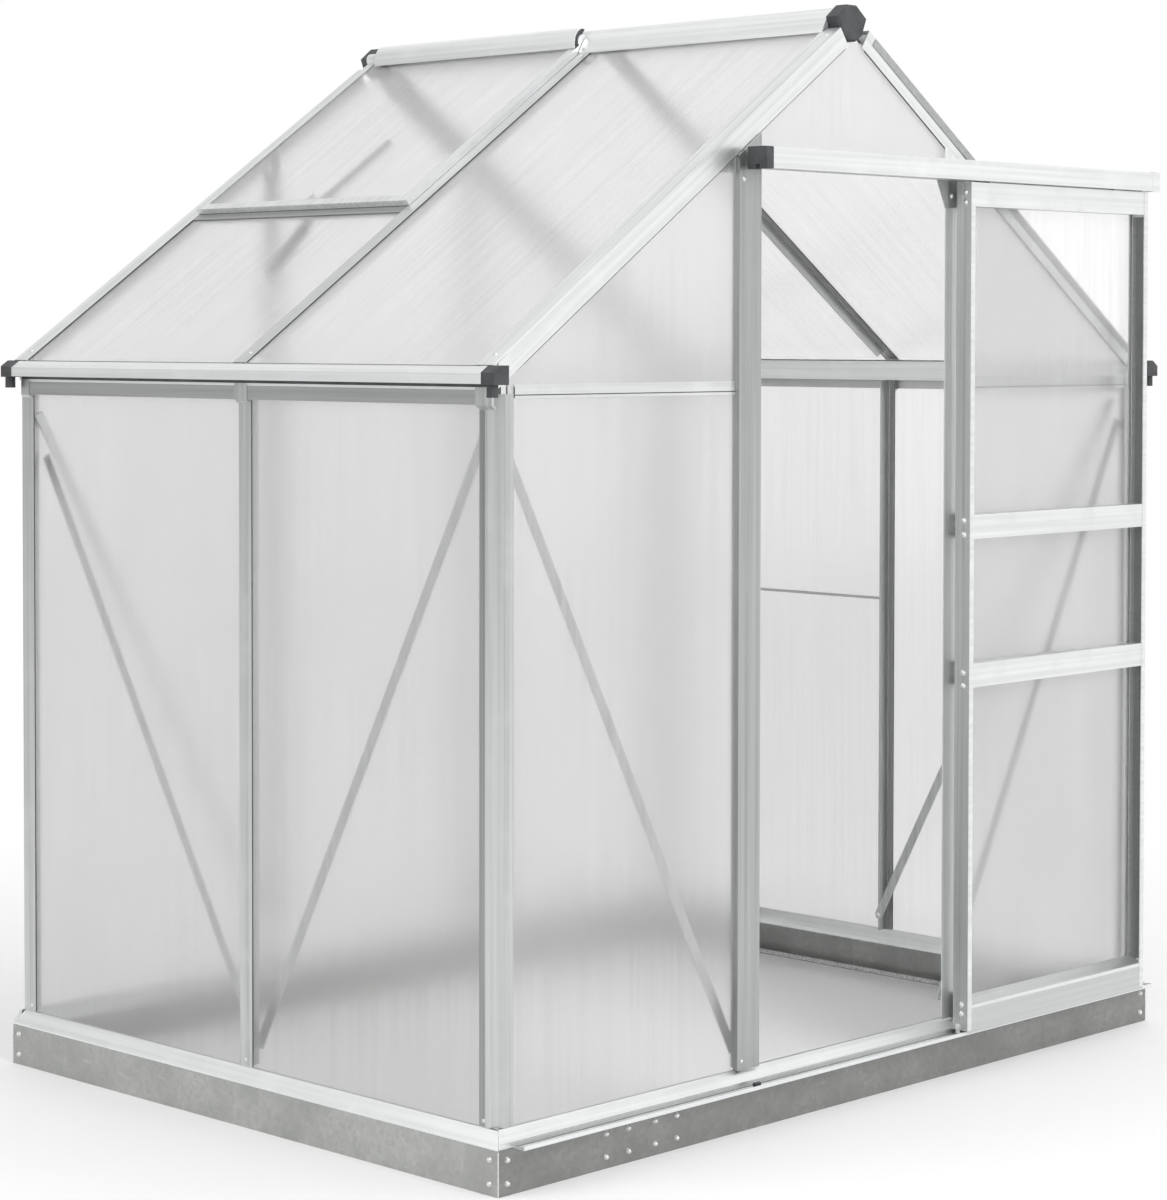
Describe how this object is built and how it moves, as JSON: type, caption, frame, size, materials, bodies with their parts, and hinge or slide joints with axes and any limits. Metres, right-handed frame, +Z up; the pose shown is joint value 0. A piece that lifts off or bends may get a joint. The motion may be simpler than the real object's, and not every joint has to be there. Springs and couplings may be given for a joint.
{
  "type": "greenhouse",
  "caption": "Small walk-in greenhouse with gabled roof, translucent twin-wall sheets in metal bars on a base frame, sliding door and a hinged roof vent with automatic opener.",
  "frame": {"origin": "middle of the whole outline, on the ground", "axes": "+Z up, -Y towards the gable with the sliding door, +X to the right seen from in front of that gable"},
  "size_m": [1.935, 1.4378, 2.0665],
  "materials": {
    "aluminium": "mill finish, brushed lengthwise",
    "galvanised_steel": "galvanised, mottled and dull",
    "twin_wall_sheet": "translucent, fine flutes",
    "dark_plastic": "moulded, dull",
    "roller_plastic": "smooth"
  },
  "bodies": {
    "frame": {"base_front": "galvanised_steel", "base_left": "galvanised_steel", "base_rear": "galvanised_steel", "base_right": "galvanised_steel", "brace_right": "aluminium", "braces_left": "aluminium", "corner_post_front_left": "aluminium", "corner_post_front_right": "aluminium", "corner_post_rear_left": "aluminium", "corner_post_rear_right": "aluminium", "door_post_left": "aluminium", "door_post_right": "aluminium", "door_sill": "aluminium", "door_track": "aluminium", "gable_bar_left": "aluminium", "gable_bar_right": "aluminium", "gable_brace_left": "aluminium", "gable_brace_right": "aluminium", "gutter_cap_front_left": "dark_plastic", "gutter_cap_front_right": "dark_plastic", "gutter_cap_rear_left": "dark_plastic", "gutter_cap_rear_right": "dark_plastic", "gutter_left": "aluminium", "gutter_right": "aluminium", "panel_gable_left": "twin_wall_sheet", "panel_gable_right": "twin_wall_sheet", "panel_gable_top": "twin_wall_sheet", "panel_left_front": "twin_wall_sheet", "panel_left_rear": "twin_wall_sheet", "panel_rear": "twin_wall_sheet", "panel_right_front": "twin_wall_sheet", "panel_right_rear": "twin_wall_sheet", "rafters_front": "aluminium", "rafters_middle": "aluminium", "rafters_rear": "aluminium", "rear_gable_frame": "aluminium", "ridge": "aluminium", "ridge_cap_front": "dark_plastic", "ridge_cap_rear": "dark_plastic", "roof_panel_left_front": "twin_wall_sheet", "roof_panel_left_rear": "twin_wall_sheet", "roof_panel_right_front": "twin_wall_sheet", "roof_panel_right_rear": "twin_wall_sheet", "side_post_left": "aluminium", "side_post_right": "aluminium", "sill_left": "aluminium", "sill_right": "aluminium", "track_cap_left": "dark_plastic", "track_cap_right": "dark_plastic", "vent_sill": "aluminium"},
    "door": {"door_frame": "aluminium", "door_panel_top": "twin_wall_sheet", "door_panel_middle": "twin_wall_sheet", "door_panel_bottom": "twin_wall_sheet"},
    "door_roller_left": {"door_roller_left": "roller_plastic"},
    "door_roller_right": {"door_roller_right": "roller_plastic"},
    "vent": {"vent_frame": "aluminium", "vent_panel": "twin_wall_sheet"},
    "opener_lower_arm": {"opener_lower_arm": "aluminium"},
    "opener_upper_arm": {"opener_upper_arm": "aluminium"}
  },
  "joints": [
    {"name": "door_slide", "type": "slide", "parent": "frame", "child": "door", "axis": [1, 0, 0], "range_m": [-0.587, 0]},
    {"name": "door_roller_left_turn", "type": "hinge", "parent": "door", "child": "door_roller_left", "pos_m": [0.38, -0.6888, 1.7598], "axis": [0, 1, 0], "continuous": true},
    {"name": "door_roller_right_turn", "type": "hinge", "parent": "door", "child": "door_roller_right", "pos_m": [0.8, -0.6888, 1.7598], "axis": [0, 1, 0], "continuous": true},
    {"name": "vent_hinge", "type": "hinge", "parent": "frame", "child": "vent", "pos_m": [-0.04113, 0.3439, 2.03911], "axis": [0, 1, 0], "range_deg": [0, 30]},
    {"name": "opener_lower_pivot", "type": "hinge", "parent": "frame", "child": "opener_lower_arm", "pos_m": [-0.4692, 0.3439, 1.70003], "axis": [0, 1, 0], "range_deg": [-21.3, 0.3]},
    {"name": "opener_upper_pivot", "type": "hinge", "parent": "vent", "child": "opener_upper_arm", "pos_m": [-0.4692, 0.3439, 1.70003], "axis": [0, 1, 0], "range_deg": [-0.3, 21.3]}
  ],
  "couplings": [
    {"joint": "door_roller_left_turn", "follows": "door_slide", "rad_per_m": 83.333},
    {"joint": "door_roller_right_turn", "follows": "door_slide", "rad_per_m": 83.333},
    {"joint": "opener_lower_pivot", "follows": "vent_hinge", "ratio": -0.7},
    {"joint": "opener_upper_pivot", "follows": "vent_hinge", "ratio": 0.7}
  ]
}
